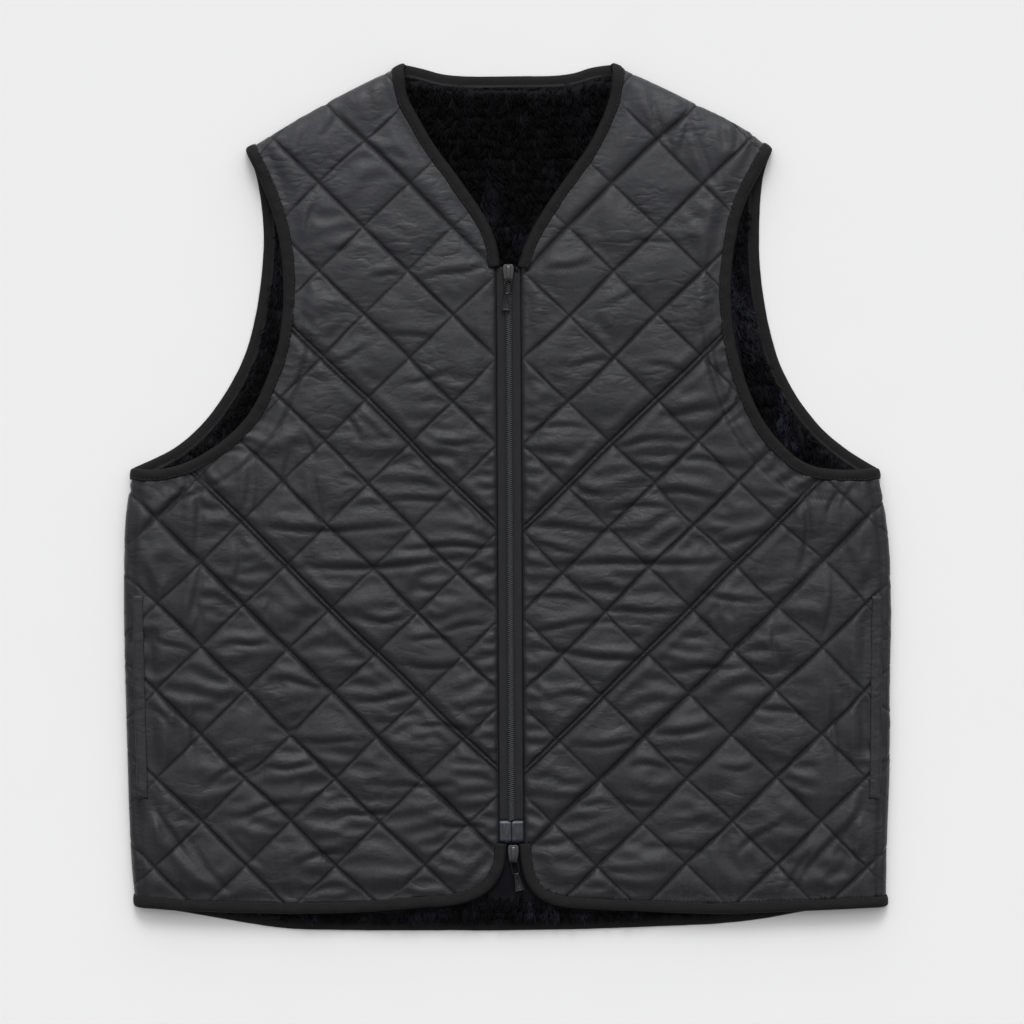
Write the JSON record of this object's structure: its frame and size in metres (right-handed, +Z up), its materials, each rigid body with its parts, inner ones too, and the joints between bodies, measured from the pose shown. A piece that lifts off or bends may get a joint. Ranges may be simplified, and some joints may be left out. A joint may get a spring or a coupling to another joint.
{
  "type": "fur-lined quilted vest",
  "caption": "Sleeveless V-neck vest laid flat and zipped, diamond-quilted outside, dark fur lining in the neck and armholes, bound edges, side pockets and a two-way zip.",
  "frame": {"origin": "centre of the vest's bounding box, on the surface that it lies on", "axes": "+Y from the hem to the neck, +X towards the wearer's left side, on the right as seen from above, +Z up from the surface"},
  "size_m": [0.5728, 0.6471, 0.0175],
  "materials": {
    "quilted_shell": "charcoal quilted shell cloth with a soft sheen",
    "fur": "near-black curled fur pile",
    "edge_binding": "matte folded binding",
    "zip_tape": "woven zip tape",
    "zip_coil": "moulded zip coil",
    "zip_film": "glossy film that stiffens the tape's end",
    "zip_metal": "black-plated zip metal"
  },
  "bodies": {
    "vest": {"back_shell": "quilted_shell", "back_lining": "fur", "hem_binding_back": "edge_binding", "neck_binding_back": "edge_binding", "armhole_binding_back_left": "edge_binding", "armhole_binding_back_right": "edge_binding", "front_left": "quilted_shell", "front_right": "quilted_shell", "pocket_welt_left": "quilted_shell", "pocket_welt_right": "quilted_shell", "hem_binding_front_left": "edge_binding", "hem_binding_front_right": "edge_binding", "armhole_binding_front_left": "edge_binding", "armhole_binding_front_right": "edge_binding", "neck_binding_front_left": "edge_binding", "neck_binding_front_right": "edge_binding", "zip_tape_left": "zip_tape", "zip_tape_right": "zip_tape", "zip_film_left": "zip_film", "zip_film_right": "zip_film", "zip_coil_left": "zip_coil", "zip_coil_right": "zip_coil", "upper_slider": "zip_metal", "lower_slider": "zip_metal"},
    "upper_link": {"upper_pull_link": "zip_metal"},
    "upper_tab": {"upper_pull_tab": "zip_metal"},
    "lower_link": {"lower_pull_link": "zip_metal"},
    "lower_tab": {"lower_pull_tab": "zip_metal"}
  },
  "joints": [
    {"name": "upper_link_swing", "type": "hinge", "parent": "vest", "child": "upper_link", "pos_m": [0.0007, 0.1629, 0.0151], "axis": [-0.9964, 0.0844, 0], "range_deg": [0, 90]},
    {"name": "upper_tab_swing", "type": "hinge", "parent": "upper_link", "child": "upper_tab", "pos_m": [-0.00027, 0.15145, 0.01458], "axis": [-0.9964, 0.0844, 0], "range_deg": [0, 90]},
    {"name": "lower_link_swing", "type": "hinge", "parent": "vest", "child": "lower_link", "pos_m": [0.00438, -0.26949, 0.014], "axis": [-0.979, -0.2041, 0], "range_deg": [0, 90]},
    {"name": "lower_tab_swing", "type": "hinge", "parent": "lower_link", "child": "lower_tab", "pos_m": [0.00671, -0.28067, 0.01262], "axis": [-0.979, -0.2041, 0], "range_deg": [0, 90]}
  ]
}
